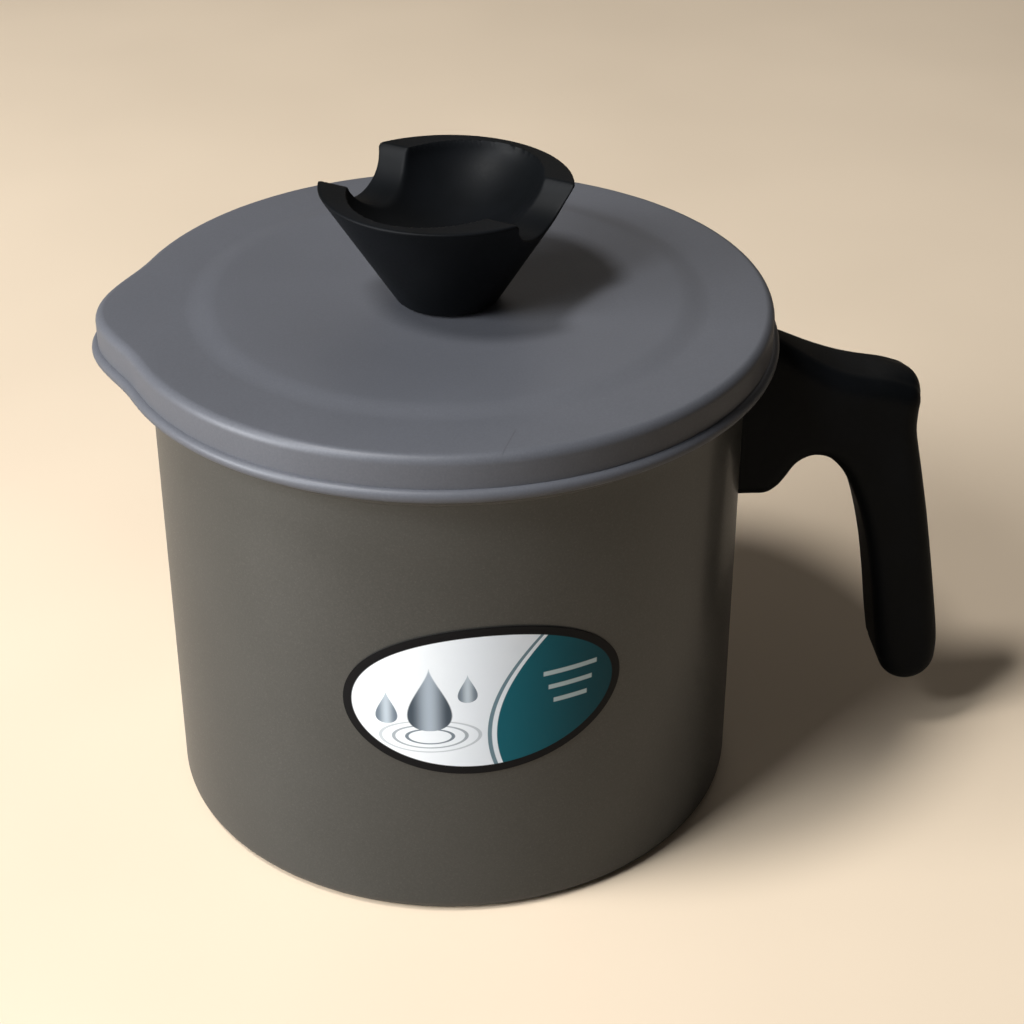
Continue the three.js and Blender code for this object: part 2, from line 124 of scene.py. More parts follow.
def swell_into_lip(piece, share_of):
    """Pushes the points round -X outwards. share_of gives how far a point follows the lip,
    from its distance to the axis and its height."""
    for vertex in piece.data.vertices:
        x, y, z = vertex.co
        across = math.hypot(x, y)
        off_lip = math.atan2(abs(y), -x) / lip_half_angle
        if across > 0 and off_lip < 1:
            bulge = lip_reach * (1 + math.cos(math.pi * off_lip)) / 2
            stretch = 1 + bulge * share_of(across, z) / across
            vertex.co = (x * stretch, y * stretch, z)


def eased(share):
    """A share from 0 to 1 that starts and ends slowly."""
    share = min(max(share, 0), 1)
    return share * share * (3 - 2 * share)


wall_steps = 240
wall_radius = 0.070
pot_sheet = 0.0008
pot_corner = 0.0032
rim_bead = 0.0014
shoulder_step = 0.0021
shoulder_depth = 0.0143
lip_depth = 0.016
pot_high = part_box("pot_body")[1]
pot_top = pot_high.z
rim_radius = pot_high.x
rim_centre = rim_radius - rim_bead
collar_inside = rim_radius - 2 * rim_bead
shoulder_height = pot_top - shoulder_depth
shoulder_bend = shoulder_step / 2
bend_centre = wall_radius + shoulder_bend
collar_foot = shoulder_height + shoulder_step
collar_outside = collar_inside + pot_sheet
rim_meet = -math.degrees(math.acos((collar_outside - rim_centre) / rim_bead))
corner_centre = wall_radius - pot_corner
pot_profile = [
    (0, 0),
    *arc(corner_centre, pot_corner, pot_corner, -90, 0, 14),
    *arc(bend_centre, shoulder_height, shoulder_bend, 180, 90, 6),
    *arc(bend_centre, collar_foot, shoulder_bend, -90, 0, 6),
    *arc(rim_centre, pot_top - rim_bead, rim_bead, rim_meet, 180, 18),
    *arc(bend_centre, collar_foot, shoulder_bend - pot_sheet, 0, -90, 4),
    *arc(bend_centre, shoulder_height, shoulder_bend + pot_sheet, 90, 180, 8),
    *arc(corner_centre, pot_corner, pot_corner - pot_sheet, 0, -90, 12),
    (0, pot_sheet),
]
pot = turned("coated_pot", pot_profile, wall_steps)
lip_start = pot_top - lip_depth
lip_full = collar_foot + shoulder_step
lip_climb = lip_full - lip_start
swell_into_lip(pot, lambda across, height: eased((height - lip_start) / lip_climb))


class Value:
    """A number or colour that varies over a surface. Sums on it add Math nodes."""

    def __init__(self, graph, socket):
        self.graph = graph
        self.socket = socket

    def maths(self, operation, *values):
        """What a Math node makes of the values."""
        sockets = dict(enumerate(values))
        return self.graph.node("ShaderNodeMath", {"operation": operation}, sockets)

    def __add__(self, other):
        return self.maths("ADD", self, other)

    def __sub__(self, other):
        return self.maths("SUBTRACT", self, other)

    def __rsub__(self, other):
        return self.maths("SUBTRACT", other, self)

    def __mul__(self, other):
        return self.maths("MULTIPLY", self, other)

    def __truediv__(self, other):
        return self.maths("DIVIDE", self, other)

    def __pow__(self, other):
        return self.maths("POWER", self, other)

    def __lt__(self, other):
        return self.maths("LESS_THAN", self, other)

    def __gt__(self, other):
        return self.maths("GREATER_THAN", self, other)

    __radd__ = __add__

    def remainder(self, other):
        return self.maths("MODULO", self, other)

    def floor(self):
        return self.maths("FLOOR", self)

    def root(self):
        return self.maths("SQRT", self)

    def size(self):
        return self.maths("ABSOLUTE", self)

    def least(self, other):
        return self.maths("MINIMUM", self, other)

    def most(self, other):
        return self.maths("MAXIMUM", self, other)

    def ramp(self, low, high):
        """Rises smoothly from 0 where this value is low to 1 where it is high."""
        settings = {"interpolation_type": "SMOOTHSTEP"}
        return self.graph.node("ShaderNodeMapRange", settings, {0: self, 1: low, 2: high})

    def line(self, half, soft):
        """1 where this value is within half of 0 on either side, fading to 0 over soft."""
        return self.size().ramp(half + soft, half)


class Graph:
    """A node tree. Its method node adds any node, with its settings first and then the
    values or links of its sockets."""

    def __init__(self, tree):
        self.tree = tree

    def fill(self, socket, value):
        """Links a Value to the socket, or sets the socket to anything else."""
        if isinstance(value, Value):
            self.tree.links.new(value.socket, socket)
        else:
            socket.default_value = value

    def node(self, kind, settings=None, sockets=None, output=0):
        added = self.tree.nodes.new(kind)
        for name, value in (settings or {}).items():
            setattr(added, name, value)
        for name, value in (sockets or {}).items():
            self.fill(added.inputs[name], value)
        return Value(self, added.outputs[output])


class Finish(Graph):
    """A material made of nodes round one Principled shader."""

    def __init__(self, name):
        self.material = bpy.data.materials.new(name)
        self.material.use_nodes = True
        super().__init__(self.material.node_tree)
        self.shader = self.tree.nodes["Principled BSDF"]
        self.place = self.node("ShaderNodeTexCoord", output="Object")

    def surface(self, **sockets):
        """Sets inputs of the shader by their names in lower case."""
        named = {socket.name.lower().replace(" ", "_"): socket for socket in self.shader.inputs}
        for name, value in sockets.items():
            self.fill(named[name], value)

    def noise(self, grain, detail=2, place=None, roughness=0.5):
        """Noise whose patches are about as wide as grain, in metres."""
        sockets = {"Vector": place or self.place, "Scale": 1 / grain, "Detail": detail,
                   "Roughness": roughness}
        return self.node("ShaderNodeTexNoise", None, sockets, "Fac")

    def grains(self, grain):
        """A random number for each cell of a fine crazy paving."""
        sockets = {"Vector": self.place, "Scale": 1 / grain}
        cells = self.node("ShaderNodeTexVoronoi", None, sockets, "Color")
        return self.node("ShaderNodeSeparateColor", None, {"Color": cells}, "Red")

    def axis(self, name, vector=None):
        """X, Y or Z of a place on the piece, or of another vector."""
        sockets = {"Vector": vector or self.place}
        return self.node("ShaderNodeSeparateXYZ", None, sockets, name)

    def blend(self, share, first, second):
        """A colour between two colours."""
        settings = {"data_type": "RGBA"}
        return self.node("ShaderNodeMix", settings, {0: share, 6: first, 7: second}, 2)

    def bump(self, height, depth, strength):
        """Fine relief: the height from 0 to 1 stands for a depth in metres."""
        sockets = {"Height": height, "Distance": depth, "Strength": strength}
        return self.node("ShaderNodeBump", None, sockets, "Normal")


def colour(red, green, blue):
    """A colour from the 0 to 255 values that it shows on a screen."""
    def linear(value):
        share = value / 255
        return share / 12.92 if share <= 0.04045 else ((share + 0.055) / 1.055) ** 2.4
    return (linear(red), linear(green), linear(blue), 1)


def metallic_coating():
    """Sprayed warm grey coat with fine metal flakes, faint clouds and an orange-peel skin."""
    flake_size = 0.00022
    speckle_size = 0.0005
    peel_size = 0.0022
    cloud_size = 0.030
    skin_depth = 0.00003
    finish = Finish("warm_grey_metallic_coating")
    flakes = finish.grains(flake_size) > 0.94
    clouds = finish.noise(cloud_size, 3)
    speckle = finish.noise(speckle_size, 2)
    bright = flakes * 0.3 + speckle.ramp(0.35, 0.7) * 0.2 + clouds * 0.4
    height = speckle * 0.6 + finish.noise(peel_size, 1) * 0.4
    finish.surface(
        base_color=finish.blend(bright, colour(67, 67, 64), colour(89, 88, 85)),
        metallic=0.35,
        roughness=0.36 + clouds * 0.06 - flakes * 0.06,
        coat_weight=0.36,
        coat_roughness=0.14,
        normal=finish.bump(height, skin_depth, 0.4),
    )
    return finish.material


pot.data.materials.append(metallic_coating())
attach(pot, "pot")
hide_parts("pot_body")


# Front label: an oval film sticker with a black edge. Its print is a plain design: three oil
# drops over rings on white, and a teal field with three bars that sweeps in from the right
# behind a thin stripe.

label_width = 0.0644
label_height = 0.0394
label_centre = 0.0612
label_turn = math.radians(-87.4)
label_tilt = 0.033
label_egg = 0.03
label_edge = 0.0021
label_gap = 0.0002
label_film = 0.0002
label_inside = wall_radius + label_gap
label_outside = label_inside + label_film
print_half_width = label_width / 2 - label_edge
print_half_height = label_height / 2 - label_edge


def label_point(turn, share, radius):
    """A point of the sticker on the wall, and the same point with the sticker laid flat.
    turn runs along it from left to right, and share up it."""
    along = -label_width / 2 * math.cos(turn)
    half = label_height / 2 * math.sin(turn) * (1 + label_egg * math.cos(turn))
    height = label_centre + label_tilt * along + half * (2 * share - 1)
    angle = label_turn + along / wall_radius
    place = (radius * math.cos(angle), radius * math.sin(angle), height)
    return place, (along, height - label_centre - label_tilt * along)


def oval_sticker(columns=120, rows=16):
    """The film as a thin closed shell. Its two ends stop just short of a point, and its UV map
    holds the flat places."""
    end_share = 0.1
    vertices = []
    spots = []
    for radius in (label_outside, label_inside):
        for column in range(columns + 1):
            turn = math.pi * (column + end_share) / (columns + 2 * end_share)
            for row in range(rows + 1):
                place, spot = label_point(turn, row / rows, radius)
                vertices.append(place)
                spots.append(spot)
    layer = (columns + 1) * (rows + 1)
    faces = []
    for column in range(columns):
        for row in range(rows):
            a = column * (rows + 1) + row
            b = a + rows + 1
            faces.append((a, b, b + 1, a + 1))
            faces.append((layer + a, layer + a + 1, layer + b + 1, layer + b))
    rim = [column * (rows + 1) for column in range(columns + 1)]
    rim += [columns * (rows + 1) + row for row in range(1, rows + 1)]
    rim += [column * (rows + 1) + rows for column in range(columns - 1, -1, -1)]
    rim += range(rows - 1, 0, -1)
    for here, after in zip(rim, [*rim[1:], rim[0]]):
        faces.append((here, layer + here, layer + after, after))
    piece = new_piece("oval_sticker", vertices, faces)
    flat = piece.data.uv_layers.new(name="flat")
    for loop in piece.data.loops:
        flat.data[loop.index].uv = spots[loop.vertex_index]
    return piece


def drop_shape(along, up, centre_along, centre_up, width, height):
    """1 inside an oil drop with its point at the top, 0 outside."""
    girth_share = 0.385
    soft_share = 0.05
    tip_share = 0.995
    level = ((up - centre_up) / (height / 2)).most(-1).least(1)
    side = (along - centre_along).size() / (width * girth_share)
    girth = (1 - level) * (1 - level * level).most(0).root()
    return (side - girth).ramp(soft_share, -soft_share) * (level.size() < tip_share)


sweep_start = 0.004
sweep_lean = 0.35
sweep_bow = 0.006
sweep_soft = 0.0001
stripe_offset = 0.0016
stripe_half, stripe_soft = 0.00040, 0.00015
white_from, white_to = -0.020, 0.004
teal_from, teal_to = 0.004, 0.032
pool_along, pool_up = -0.0125, -0.0088
pool_squash = 2.6
pool_radius, pool_step = 0.0052, 0.0030
ring_half, ring_soft = 0.00030, 0.00020
bars_along, bars_up = 0.0195, 0.0050
bar_drop = 0.0038
bar_reach, bar_shrink = 0.0066, 0.0012
bar_half, bar_soft = 0.0005, 0.0002
bar_end_soft = 0.0003
drop_inks = {
    "large": (colour(70, 80, 90), colour(170, 182, 194)),
    "small": (colour(116, 128, 140), colour(190, 202, 212)),
}
# The drops by ink, place along and up the sticker, width and height
drop_places = (
    ("large", -0.0125, 0.0012, 0.0100, 0.0170),
    ("small", -0.0222, -0.0012, 0.0050, 0.0086),
    ("small", -0.0040, 0.0040, 0.0044, 0.0076),
)


def print_field(finish, along, up):
    """The white and the teal field, with the stripe where they meet."""
    sweep = along - sweep_start - up * sweep_lean - (up / print_half_height) ** 2 * sweep_bow
    white_share = along.ramp(white_from, white_to)
    white = finish.blend(white_share, colour(246, 251, 255), colour(236, 243, 251))
    teal = finish.blend(along.ramp(teal_from, teal_to), colour(20, 96, 110), colour(17, 74, 86))
    field = finish.blend(sweep.ramp(-sweep_soft, sweep_soft), white, teal)
    stripe = (sweep + stripe_offset).line(stripe_half, stripe_soft)
    return finish.blend(stripe, field, colour(110, 136, 148))


def print_drops(finish, field, along, up):
    """Rings on the pool, and the drops above it."""
    pool = ((along - pool_along) ** 2 + ((up - pool_up) * pool_squash) ** 2).root()
    for ring in range(3):
        ripple = (pool - (pool_radius + ring * pool_step)).line(ring_half, ring_soft)
        field = finish.blend(ripple * (0.9 - ring * 0.25), field, colour(96, 110, 122))
    for ink, centre_along, centre_up, width, height in drop_places:
        mask = drop_shape(along, up, centre_along, centre_up, width, height)
        sheen = (along - centre_along).size().ramp(width * 0.42, 0)
        field = finish.blend(mask, field, finish.blend(sheen, *drop_inks[ink]))
    return field


def print_bars(finish, field, along, up):
    """Three plain bars on the teal, each shorter than the one above."""
    for bar in range(3):
        reach = bar_reach - bar * bar_shrink
        long = (along - bars_along).line(reach - bar_end_soft, bar_end_soft)
        thin = (up - (bars_up - bar * bar_drop)).line(bar_half, bar_soft)
        field = finish.blend(long * thin, field, colour(190, 208, 212))
    return field


def sticker_print():
    """Printed film with a soft sheen: the fields, drops and bars inside a black edge."""
    edge_soft_share = 0.006
    fibre_size = 0.004
    fibre_depth = 0.00002
    finish = Finish("printed_film")
    flat = finish.node("ShaderNodeUVMap", {"uv_map": "flat"})
    along = finish.axis("X", flat)
    up = finish.axis("Y", flat)
    fuller = 1 - along / (label_width / 2) * label_egg
    far_out = ((along / print_half_width) ** 2 + (up / print_half_height / fuller) ** 2).root()
    inside = far_out.ramp(1 + edge_soft_share, 1 - edge_soft_share)
    field = print_field(finish, along, up)
    field = print_drops(finish, field, along, up)
    field = print_bars(finish, field, along, up)
    fibre = finish.noise(fibre_size, 2)
    finish.surface(
        base_color=finish.blend(inside, colour(17, 17, 19), field),
        specular_ior_level=0.15,
        roughness=0.42 + fibre * 0.08,
        normal=finish.bump(fibre, fibre_depth, 0.3),
    )
    return finish.material


sticker = oval_sticker()
sticker.data.materials.append(sticker_print())
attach(sticker, "pot")
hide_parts("front_label")


# Handle bracket and nut: a stainless saddle that is spot-welded to the wall, its tongue and
# a weld nut. They sit inside the handle's root, so the solids keep their shape and get a
# satin stainless finish.

def satin_steel(name, tint, grain, along=(1, 1, 1)):
    """Bright steel with scratches about as wide as grain. A share below 1 in along draws
    them out in that direction."""
    cloud_size = 0.012
    scratch_depth = 0.00002
    finish = Finish(name)
    stretched = finish.node("ShaderNodeMapping", None, {"Vector": finish.place, "Scale": along})
    scratches = finish.noise(grain, 4, stretched, 0.7)
    clouds = finish.noise(cloud_size, 2)
    dark = tuple(channel * 0.72 for channel in tint[:3]) + (1,)
    finish.surface(
        base_color=finish.blend(scratches.ramp(0.3, 0.7) * 0.5 + clouds * 0.3, tint, dark),
        metallic=1.0,
        roughness=0.22 + scratches * 0.16 + clouds * 0.06,
        normal=finish.bump(scratches, scratch_depth, 0.35),
    )
    return finish.material


def refinish(node, material):
    """Gives a new material to a node that keeps its solid."""
    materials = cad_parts[node].data.materials
    materials.clear()
    materials.append(material)


welded_grain = 0.0008
welded_along = (1, 1, 0.15)
stainless = satin_steel("satin_stainless", colour(200, 201, 202), welded_grain, welded_along)
refinish("handle_bracket", stainless)
refinish("bracket_nut", stainless)


# Handle: one black phenolic moulding. A deep root hugs the wall under the lid, an arm leads
# out to a rounded corner, and an open grip hangs down from it. It is cut away only for the
# pot and where the bracket, its nut, the screw and the washer go.

handle_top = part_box("handle")[1].z
handle_reach = 0.0545
handle_height = 0.099
handle_low = handle_top - handle_height
handle_width = 0.020
handle_root_width = 0.013
handle_crest_width = 0.010
handle_flare_reach = 0.025
handle_edge = 0.0045
handle_tip_share = 0.136
handle_tip_turn = 86
crown_height = 0.0012
crown_reach = 0.014
crown_across_share = 0.79
crown_up_share = 0.865
crown_hub_in = 0.012
crown_hub_down = 0.010
handle_over_shares = [
    (0.15, 0.996), (0.233, 0.97), (0.307, 0.947), (0.373, 0.929), (0.451, 0.912),
    (0.554, 0.898), (0.645, 0.889), (0.714, 0.878), (0.77, 0.864), (0.798, 0.836),
    (0.795, 0.79), (0.799, 0.737), (0.842, 0.624), (0.9, 0.463), (0.971, 0.235),
    (0.999, 0.13), (1, 0.075),
]
handle_under_shares = [
    (0.068, 0.567), (0.138, 0.571), (0.19, 0.594), (0.226, 0.624), (0.257, 0.654),
    (0.294, 0.674), (0.341, 0.685), (0.398, 0.68), (0.443, 0.66), (0.485, 0.629),
    (0.524, 0.586), (0.564, 0.532), (0.601, 0.461), (0.638, 0.368), (0.67, 0.259),
    (0.698, 0.147), (0.72, 0.075),
]


def smooth_curve(points, parts):
    """A Catmull-Rom curve through the points, each stretch of it in equal parts."""
    ends = [points[0], *points, points[-1]]
    curve = []
    for before, start, end, after in zip(ends, ends[1:], ends[2:], ends[3:]):
        for part in range(parts):
            t = part / parts
            curve.append(tuple(
                0.5 * (2 * p1 + (p2 - p0) * t + (2 * p0 - 5 * p1 + 4 * p2 - p3) * t * t
                       + (3 * p1 - p0 - 3 * p2 + p3) * t ** 3)
                for p0, p1, p2, p3 in zip(before, start, end, after)))
    return [*curve, points[-1]]


def cutter(name, mesh_maker, place):
    """A closed shape that a Boolean modifier takes away, made by a bmesh operator."""
    mesh = bpy.data.meshes.new(name)
    build = bmesh.new()
    mesh_maker(build)
    bmesh.ops.translate(build, verts=build.verts, vec=place)
    build.to_mesh(mesh)
    build.free()
    shape = bpy.data.objects.new(name, mesh)
    bpy.context.collection.objects.link(shape)
    return shape


def drum(radius, low, high, x=0, steps=96):
    """An upright cylinder between two heights."""
    def make(build):
        bmesh.ops.create_cone(build, cap_ends=True, segments=steps, radius1=radius,
                              radius2=radius, depth=high - low)
    return cutter("drum", make, (x, 0, (low + high) / 2))


def block(low, high):
    """A box between two corners."""
    def make(build):
        bmesh.ops.create_cube(build, size=1)
        size = [b - a for a, b in zip(low, high)]
        bmesh.ops.scale(build, vec=size, verts=build.verts)
    return cutter("block", make, [(a + b) / 2 for a, b in zip(low, high)])


def baked_mesh(piece):
    """Replaces the piece's mesh with what its modifiers make of it, and removes them."""
    depsgraph = bpy.context.evaluated_depsgraph_get()
    mesh = bpy.data.meshes.new_from_object(piece.evaluated_get(depsgraph))
    piece.modifiers.clear()
    old = piece.data
    piece.data = mesh
    bpy.data.meshes.remove(old)


def cut_away(piece, cutters):
    """Takes the cutters' shapes away from the piece, then deletes them."""
    for shape in cutters:
        cut = piece.modifiers.new("cut", "BOOLEAN")
        cut.operation = "DIFFERENCE"
        cut.solver = "EXACT"
        cut.object = shape
    baked_mesh(piece)
    for shape in cutters:
        bpy.data.objects.remove(shape)


def nearness(point, outline):
    """The distance from a point of the side view to an open outline."""
    place = np.array(point)
    starts = np.array(outline[:-1])
    runs = np.array(outline[1:]) - starts
    shares = ((place - starts) * runs).sum(axis=1) / (runs ** 2).sum(axis=1)
    nearest = starts + runs * np.clip(shares, 0, 1)[:, None]
    return float(np.hypot(*(nearest - place).T).min())


def moulded_handle(columns=28):
    """The handle from its root to its tip. Each station joins a point of the upper outline
    to one of the lower, and both sides round over towards the outline."""
    def place(share):
        return wall_radius + share[0] * handle_reach, handle_low + share[1] * handle_height

    parts = 5
    over = smooth_curve([place(share) for share in handle_over_shares], parts)
    under = smooth_curve([place(share) for share in handle_under_shares], parts)
    tip = handle_reach * handle_tip_share
    tip_centre = wall_radius + handle_reach - tip
    over += arc(tip_centre, handle_low + tip, tip, 0, -handle_tip_turn, 14)[1:]
    under += arc(tip_centre, handle_low + tip, tip, 180, 180 + handle_tip_turn, 14)[1:]
    inner_x = wall_radius - 2 * handle_edge
    over = [(inner_x, handle_top), *over]
    under = [(inner_x, under[0][1]), *under]
    outline = [*over, *reversed(under)]
    sides = {-1: [], 1: []}
    spare = handle_root_width - handle_crest_width
    for top, bottom in zip(over, under):
        for column in range(columns + 1):
            share = (1 - math.cos(math.pi * column / columns)) / 2
            x, z = (b + (t - b) * share for t, b in zip(top, bottom))
            flare = eased((x - wall_radius) / handle_flare_reach)
            width = handle_root_width + (handle_width - handle_root_width) * flare
            width -= spare * eased(2 * share - 1) * (1 - flare)
            depth = min(nearness((x, z), outline), handle_edge)
            rounding = handle_edge - math.sqrt(handle_edge ** 2 - (handle_edge - depth) ** 2)
            for side, points in sides.items():
                points.append((x, side * (width / 2 - rounding), z))
    layer = len(sides[-1])
    row = columns + 1
    rows = layer // row
    faces = []
    for first in range(0, layer - row, row):
        for column in range(columns):
            a, b = first + column, first + row + column
            faces += [(a, b, b + 1, a + 1), (layer + a, layer + a + 1, layer + b + 1, layer + b)]
    for start in range(rows - 1):
        low, high = start * row, start * row + columns
        faces += [(low, layer + low, layer + low + row, low + row),
                  (high, high + row, layer + high + row, layer + high)]
    last = layer - row
    for column in range(columns):
        root, end = column, last + column
        faces += [(root, root + 1, layer + root + 1, layer + root),
                  (end, layer + end, layer + end + 1, end + 1)]
    return new_piece("moulded_handle", [*sides[-1], *sides[1]], faces)


def crown_corner(piece, cuts=9):
    """Swells the face over the rounded corner, so that it is round across its width too."""
    corner = Vector((wall_radius + crown_across_share * handle_reach, 0,
                     handle_low + crown_up_share * handle_height))
    hub = corner - Vector((crown_hub_in, 0, crown_hub_down))

    def away(vertex):
        return math.hypot(vertex.co.x - corner.x, vertex.co.z - corner.z)

    build = bmesh.new()
    build.from_mesh(piece.data)
    across = []
    for edge in build.edges:
        first, second = edge.verts
        turned_across = abs(first.co.y - second.co.y) > handle_width / 4
        outside = (first.co - hub).dot(corner - hub) > 0
        if turned_across and outside and away(first) < crown_reach:
            across.append(edge)
    half_width = max(abs(edge.verts[0].co.y) for edge in across)
    added = bmesh.ops.subdivide_edges(build, edges=across, cuts=cuts, use_grid_fill=True)
    for vertex in added["geom_inner"]:
        if isinstance(vertex, bmesh.types.BMVert):
            outward = Vector((vertex.co.x - hub.x, 0, vertex.co.z - hub.z)).normalized()
            swell = crown_height * eased(1 - away(vertex) / crown_reach)
            vertex.co += outward * swell * (1 - (vertex.co.y / half_width) ** 2)
    build.to_mesh(piece.data)
    build.free()


gap = 0.0003
overrun = 0.01
bracket_low, bracket_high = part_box("handle_bracket")
nut_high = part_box("bracket_nut")[1]
washer_low, washer_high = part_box("handle_washer")
screw_low, screw_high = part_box("handle_screw")
fixing_x = (screw_low.x + screw_high.x) / 2
washer_radius = (washer_high.x - washer_low.x) / 2
shank_radius = 0.002
saddle_sheet = 0.0012
tongue_width = 0.008
tongue_rise = 0.0137
saddle_half = bracket_high.y + gap
saddle_outside = wall_radius + saddle_sheet + 2 * gap
tongue_half = tongue_width / 2 + gap

grip = moulded_handle()
crown_corner(grip)
cut_away(grip, [
    drum(wall_radius + gap, -overrun, handle_top + overrun, steps=wall_steps),
    drum(collar_outside + gap, shoulder_height - gap, handle_top + overrun, steps=wall_steps),
    block((wall_radius - gap, -saddle_half, bracket_low.z - gap),
          (saddle_outside, saddle_half, bracket_high.z + gap)),
    block((wall_radius, -tongue_half, bracket_low.z + tongue_rise),
          (bracket_high.x + gap, tongue_half, nut_high.z + gap)),
    drum(shank_radius + gap, handle_low, nut_high.z, fixing_x),
    drum(washer_radius + gap, handle_low, washer_high.z + gap, fixing_x),
])
shade_smooth(grip.data, 38)


def black_moulding():
    """Satin black phenolic: a fine moulded grain, faint flow marks and a soft sheen."""
    grain_size = 0.0007
    flow_size = 0.016
    grain_depth = 0.00005
    finish = Finish("black_phenolic")
    grain = finish.noise(grain_size, 3)
    flow = finish.noise(flow_size, 3)
    finish.surface(
        base_color=finish.blend(flow.ramp(0.3, 0.75), colour(9, 11, 13), colour(14, 16, 19)),
        specular_ior_level=0.10,
        roughness=0.38 + grain * 0.12 + flow * 0.10,
        normal=finish.bump(grain * 0.7 + flow * 0.3, grain_depth, 0.35),
    )
    return finish.material


phenolic = black_moulding()
grip.data.materials.append(phenolic)
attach(grip, "pot")
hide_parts("handle")


# Washers and screws: the handle's pair in the recess under its arm, and the knob's pair under
# the lid. Each is a stamped washer and a cross-head pan screw with a ridged thread.

head_height = 0.0024
thread_pitch = 0.0007
hole_radius = shank_radius + gap


def ring_profile(inside, outside, low, high, soft):
    """The section of a flat ring between two radii and two heights, with soft edges."""
    return [
        *arc(outside - soft, low + soft, soft, -90, 0, 3),
        *arc(outside - soft, high - soft, soft, 0, 90, 3),
        *arc(inside + soft, high - soft, soft, 90, 180, 3),
        *arc(inside + soft, low + soft, soft, 180, 270, 3),
    ]


def moved_to(piece, middle):
    """The piece with its mesh moved along X, so that it stands round middle."""
    for vertex in piece.data.vertices:
        vertex.co.x += middle
    return piece


def plain_washer(name, low, high):
    """A stamped washer that fills a node's box."""
    soft = (high.z - low.z) / 5
    profile = ring_profile(hole_radius, (high.x - low.x) / 2, low.z, high.z, soft)
    return moved_to(turned(name, profile, 64, short_stretch), (high.x + low.x) / 2)


def pan_screw(name, low, high):
    """A screw that stands head down: domed head with a cross, and a ridged shank."""
    radius = (high.x - low.x) / 2
    middle = (high.x + low.x) / 2
    head_top = low.z + head_height
    dome = head_height * 0.6
    flat = radius * 0.55
    lift = dome * 0.06
    profile = [(0, low.z), (flat, low.z + lift)]
    for step in range(1, 7):
        turn = math.radians(15 * step)
        profile.append((flat + (radius - flat) * math.sin(turn),
                        low.z + lift + dome - dome * math.cos(turn)))
    profile += [(radius, head_top), (shank_radius, head_top)]
    thread_root = shank_radius - thread_pitch / 2
    level = head_top + thread_pitch
    while level + thread_pitch < high.z:
        profile += [(shank_radius, level), (thread_root, level + thread_pitch / 2)]
        level += thread_pitch
    profile += [(shank_radius, level), (thread_root, high.z), (0, high.z)]
    crease = 30
    piece = moved_to(turned(name, profile, 48, short_stretch, crease), middle)
    arm = radius * 0.5
    thick = radius * 0.12
    deep = head_height * 0.55
    cut_away(piece, [
        block((middle - arm, -thick, low.z - deep), (middle + arm, thick, low.z + deep)),
        block((middle - thick, -arm, low.z - deep), (middle + thick, arm, low.z + deep)),
    ])
    shade_smooth(piece.data, crease)
    return piece


turned_grain = 0.0004
fastener_steel = satin_steel("turned_steel", colour(176, 178, 180), turned_grain)
for body, node in (("pot", "handle_washer"), ("lid", "knob_washer")):
    washer = plain_washer(node + "_stamped", *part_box(node))
    washer.data.materials.append(fastener_steel)
    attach(washer, body)
    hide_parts(node)
for body, node in (("pot", "handle_screw"), ("lid", "knob_screw")):
    fastener = pan_screw(node + "_threaded", *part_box(node))
    fastener.data.materials.append(fastener_steel)
    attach(fastener, body)
    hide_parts(node)


# Strainer basket and clamp ring: a pressed stainless ring whose curled edge hangs on the
# pot's ledge, with a tapered wall and an inward lip. The clamp ring holds the gauze on it.

basket_low, basket_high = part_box("strainer_basket")
ring_low, ring_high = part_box("strainer_clamp_ring")
strainer_steps = 200
strainer_sheet = 0.0006
curl = 0.001
brim_width = 0.0023
brim_bend = 0.0005
basket_taper = 0.0014
basket_corner = 0.0015
basket_lip = 0.005
soft_edge = 0.0003
curl_centre = basket_high.x - curl
basket_top = curl_centre - brim_width
basket_foot = basket_top - basket_taper
ledge = basket_high.z - 2 * curl
lip_inside = basket_foot - basket_lip
bend_across = basket_top + brim_bend
bend_height = ledge - brim_bend
foot_across = basket_foot - basket_corner
foot_height = basket_low.z + basket_corner
basket_profile = [
    (lip_inside, basket_low.z),
    *arc(foot_across, foot_height, basket_corner, -90, 0, 6),
    *arc(bend_across, bend_height, brim_bend, 180, 90, 4),
    *arc(curl_centre, ledge + curl, curl, -90, 200, 16),
    *arc(bend_across, bend_height, brim_bend + strainer_sheet, 90, 180, 4),
    *arc(foot_across, foot_height, basket_corner - strainer_sheet, 0, -90, 5),
    (lip_inside, basket_low.z + strainer_sheet),
]
basket = turned("strainer_basket_pressed", basket_profile, strainer_steps)
clamp_profile = ring_profile(lip_inside, ring_high.x, ring_low.z, ring_high.z, soft_edge)
clamp_ring = turned("strainer_ring_rolled", clamp_profile, strainer_steps)
pressed_grain = 0.0012
pressed_along = (1, 1, 0.25)
pressed_steel = satin_steel("pressed_stainless", colour(206, 207, 208), pressed_grain, pressed_along)
for piece, node in ((basket, "strainer_basket"), (clamp_ring, "strainer_clamp_ring")):
    piece.data.materials.append(pressed_steel)
    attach(piece, "strainer")
    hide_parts(node)


# Strainer gauze: plain-woven stainless wire cloth, cut round and held under the clamp ring.
# Each wire runs over one crossing and under the next.

